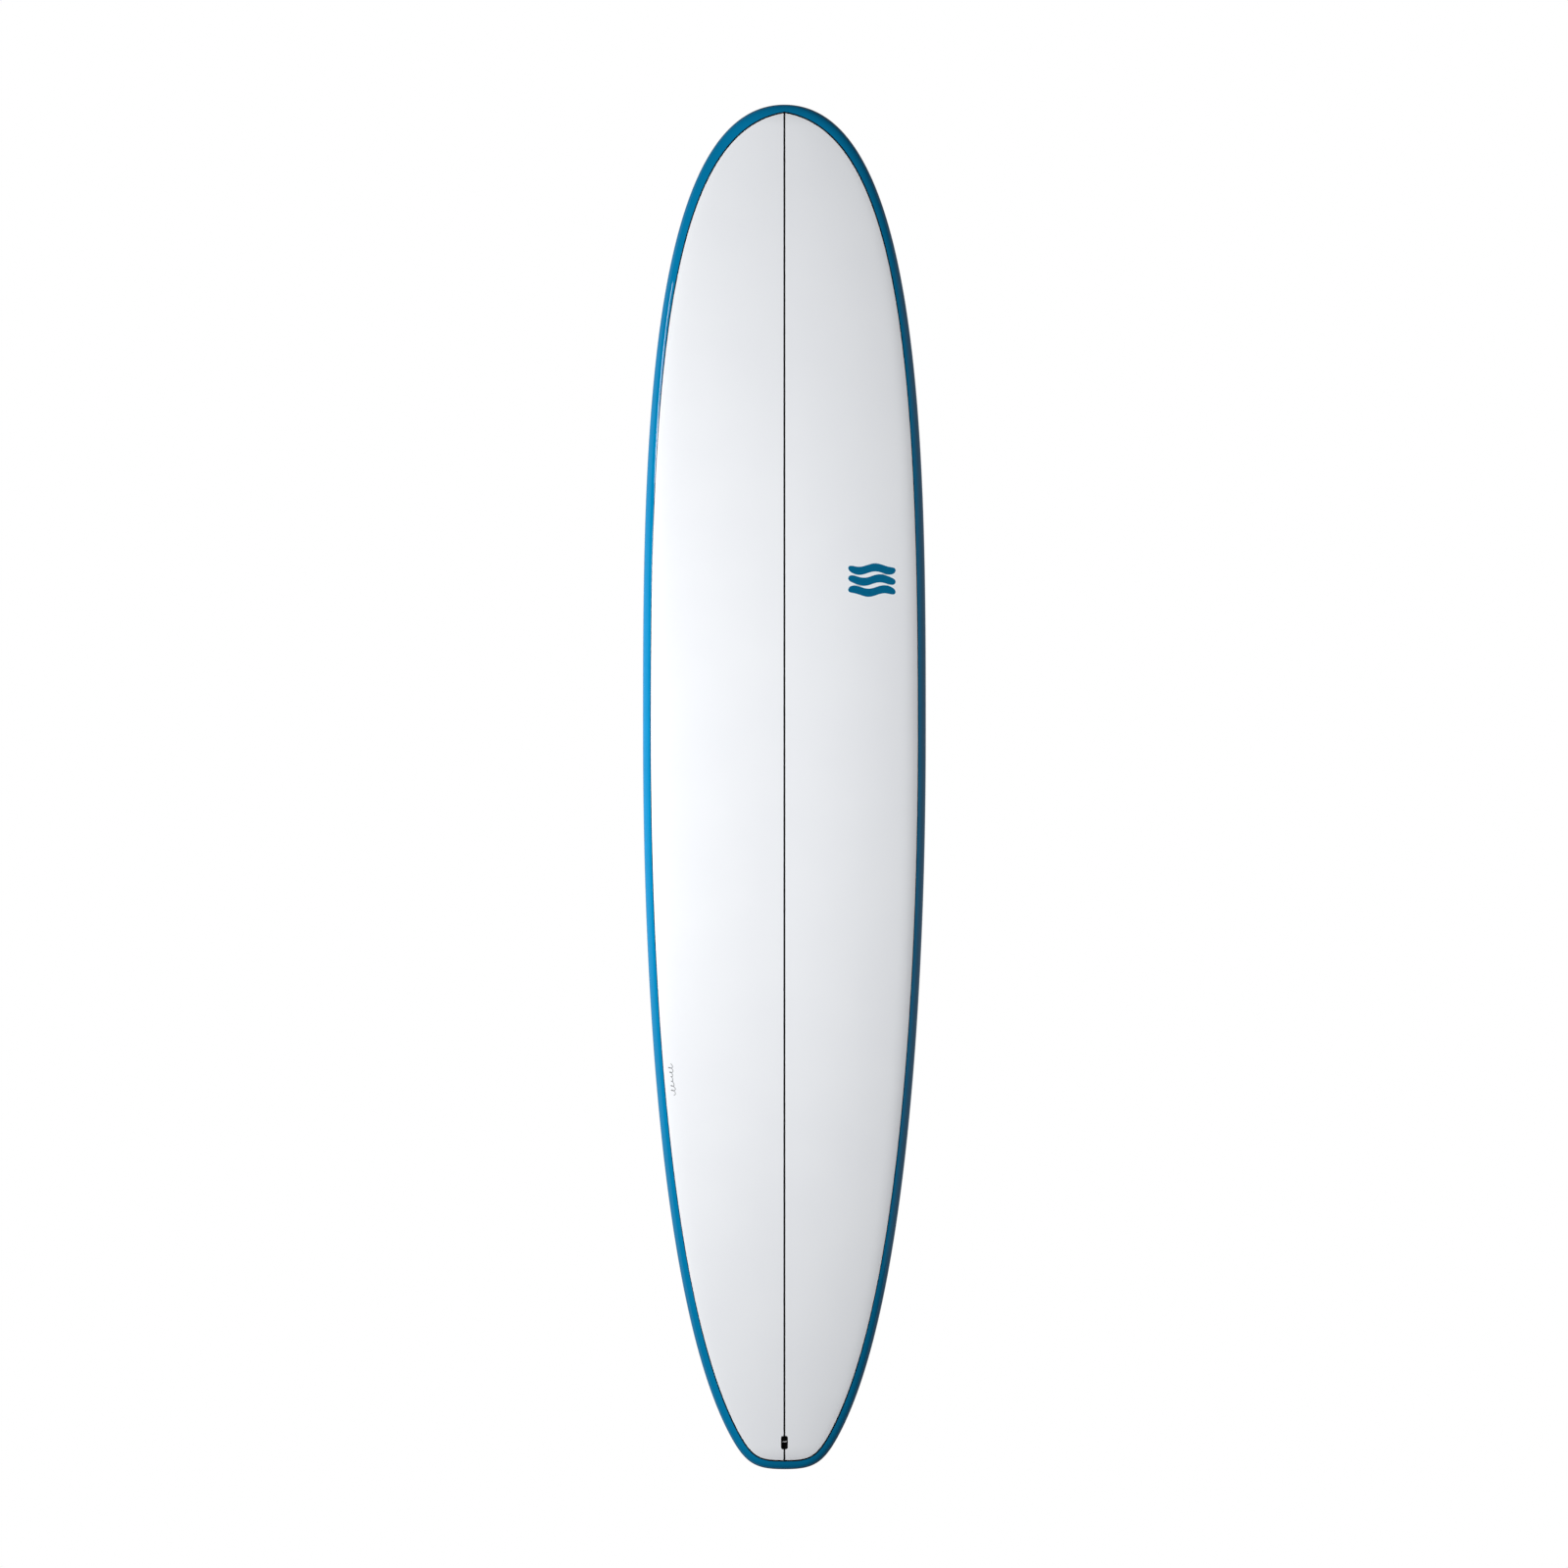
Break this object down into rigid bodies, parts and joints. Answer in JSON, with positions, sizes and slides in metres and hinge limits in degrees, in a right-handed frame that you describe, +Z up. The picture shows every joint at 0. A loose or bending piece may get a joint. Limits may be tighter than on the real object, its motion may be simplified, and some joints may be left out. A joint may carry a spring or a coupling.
{
  "type": "surfboard",
  "caption": "Longboard surfboard with rounded nose, squared-off tail, white deck, blue rail band, leash plug, slotted centre fin box and side fins.",
  "frame": {"origin": "under the middle of the board's length and width, level with the lowest point of the centre fin", "axes": "+Y from tail to nose, +X to the right rail of a rider facing the nose, +Z up out of the deck"},
  "size_m": [0.5698, 2.743, 0.2448],
  "materials": {
    "foam": "closed-cell foam, shaped and left matte",
    "stringer_wood": "thin dark-stained ply",
    "white_laminate": "white glass and epoxy laminate, polished gloss",
    "blue_laminate": "blue pigmented epoxy, polished gloss",
    "pinline_resin": "black resin line, gloss",
    "black_plastic": "moulded black plastic, fine grain",
    "fin_composite": "moulded black fin composite, satin",
    "stainless": "stainless steel, machined",
    "brass": "brass plate, machined",
    "decal_film": "printed film under gloss"
  },
  "bodies": {
    "board": {"foam_core_left": "foam", "foam_core_right": "foam", "stringer": "stringer_wood", "deck_laminate": "white_laminate", "bottom_laminate": "white_laminate", "rail_laminate": "blue_laminate", "deck_pinline": "pinline_resin", "bottom_pinline": "pinline_resin", "deck_decal": "decal_film", "leash_plug_cup": "black_plastic", "leash_plug_pin": "stainless", "fin_box": "black_plastic", "side_fin_left": "fin_composite", "side_fin_right": "fin_composite", "side_plug_left_front": "black_plastic", "side_plug_left_rear": "black_plastic", "side_plug_right_front": "black_plastic", "side_plug_right_rear": "black_plastic", "side_grub_left_front": "stainless", "side_grub_left_rear": "stainless", "side_grub_right_front": "stainless", "side_grub_right_rear": "stainless"},
    "centre_fin_unit": {"centre_fin": "fin_composite", "fin_roll_pin": "stainless", "fin_screw": "stainless", "fin_plate_nut": "brass"}
  },
  "joints": [
    {"name": "centre_fin_slide", "type": "slide", "parent": "board", "child": "centre_fin_unit", "axis": [0, 0.9925, -0.1223], "range_m": [-0.035, 0.035]}
  ]
}
